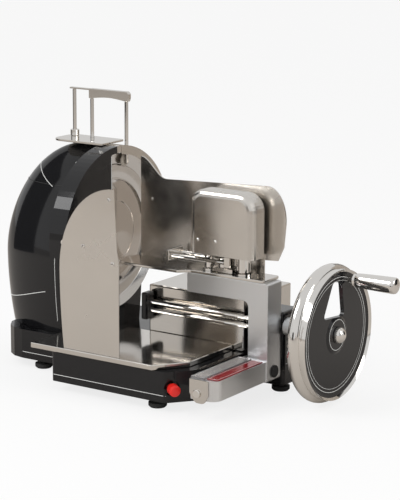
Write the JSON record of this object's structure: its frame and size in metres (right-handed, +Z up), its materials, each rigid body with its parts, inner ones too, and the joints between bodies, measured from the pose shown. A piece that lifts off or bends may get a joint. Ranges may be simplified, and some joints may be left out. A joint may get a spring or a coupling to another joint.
{
  "type": "flywheel meat slicer",
  "caption": "Hand-cranked meat slicer: gloss black casting, round blade, sliding meat table, clamp on columns, windowed flywheel with a turning handle and a sharpener on top",
  "frame": {"origin": "Middle of the machine's footprint, at the height of the worktop it stands on.", "axes": "+X from the blade side towards the flywheel, +Y from the operator's front to the back, +Z up. Blade and flywheel turn about X, and the meat table slides along Y."},
  "size_m": [0.817, 0.384, 0.5355],
  "materials": {
    "gloss_black": "gloss",
    "polished_steel": "polished",
    "satin_aluminium": "satin",
    "chrome": "polished",
    "blade_steel": "polished",
    "red_plastic": "gloss",
    "red_enamel": "gloss",
    "clear_plastic": "clear",
    "black_rubber": "matte",
    "grinding_stone": "matte"
  },
  "bodies": {
    "machine": {"base_casting": "gloss_black", "housing_casting": "gloss_black", "drive_side_cover": "gloss_black", "blade_hood": "gloss_black", "blade_ring": "polished_steel", "sharpener_seat": "polished_steel", "bearing_column": "gloss_black", "receiving_tray": "polished_steel", "slice_guard": "polished_steel", "guard_stud": "chrome", "guard_screw_left": "chrome", "guard_screw_right": "chrome", "guard_screw_top": "chrome", "drive_cover": "polished_steel", "blade_bearing": "satin_aluminium", "shaft_bearing": "satin_aluminium", "inner_bearing": "satin_aluminium", "post_collar": "chrome", "foot_left": "black_rubber", "foot_front": "black_rubber", "foot_right": "black_rubber", "foot_back_left": "black_rubber", "foot_back_right": "black_rubber"},
    "flywheel": {"flywheel_rim": "chrome", "flywheel_disc": "gloss_black", "flywheel_shaft": "polished_steel", "flywheel_hub_cap": "chrome", "handle_pin": "polished_steel", "drive_gear": "satin_aluminium"},
    "handle": {"flywheel_handle": "chrome"},
    "cutter": {"blade": "blade_steel", "blade_cover": "polished_steel", "blade_shaft": "polished_steel"},
    "carriage": {"carriage_frame": "satin_aluminium", "warning_plate": "red_enamel", "clear_slide_cover": "clear_plastic", "end_bracket": "polished_steel", "bracket_screw": "chrome", "leg_plug": "black_rubber", "guide_rod_upper": "chrome", "guide_rod_lower": "chrome", "rod_bracket": "gloss_black", "meat_table": "polished_steel", "fence_plate": "polished_steel"},
    "feed": {"clamp_column_left": "chrome", "clamp_column_right": "chrome", "clamp_slide_shoe": "polished_steel", "gripper_knob": "chrome"},
    "clamp": {"clamp_cover": "chrome", "gripper_crosshead": "polished_steel", "gripper_prong_front": "chrome", "gripper_prong_back": "chrome", "gripper_plate": "polished_steel"},
    "sharpener": {"sharpener_post_left": "chrome", "sharpener_post_middle": "chrome", "sharpener_post_right": "chrome", "sharpener_handle": "polished_steel", "sharpener_link": "polished_steel", "sharpening_stone": "grinding_stone"},
    "lock": {"lock_knob": "red_plastic"}
  },
  "joints": [
    {"name": "flywheel_turn", "type": "hinge", "parent": "machine", "child": "flywheel", "pos_m": [0.3165, 0.03605, 0.131], "axis": [1, 0, 0], "continuous": true},
    {"name": "handle_turn", "type": "hinge", "parent": "flywheel", "child": "handle", "pos_m": [0.3165, 0.07605, 0.226], "axis": [1, 0, 0], "continuous": true},
    {"name": "blade_turn", "type": "hinge", "parent": "machine", "child": "cutter", "pos_m": [-0.1555, -0.00795, 0.271], "axis": [1, 0, 0], "continuous": true},
    {"name": "carriage_slide", "type": "slide", "parent": "machine", "child": "carriage", "axis": [0, 1, 0], "range_m": [-0.12, 0]},
    {"name": "feed_slide", "type": "slide", "parent": "carriage", "child": "feed", "axis": [1, 0, 0], "range_m": [-0.09, 0.012]},
    {"name": "clamp_height", "type": "slide", "parent": "feed", "child": "clamp", "axis": [0, 0, 1], "range_m": [0, 0.04]},
    {"name": "sharpener_press", "type": "slide", "parent": "machine", "child": "sharpener", "axis": [0, 0, 1], "range_m": [-0.02, 0]},
    {"name": "lock_press", "type": "slide", "parent": "machine", "child": "lock", "axis": [0.784, -0.6207, 0], "range_m": [-0.006, 0], "stiffness_N_per_m": 800}
  ],
  "couplings": [
    {"joint": "blade_turn", "follows": "flywheel_turn", "ratio": 3}
  ]
}
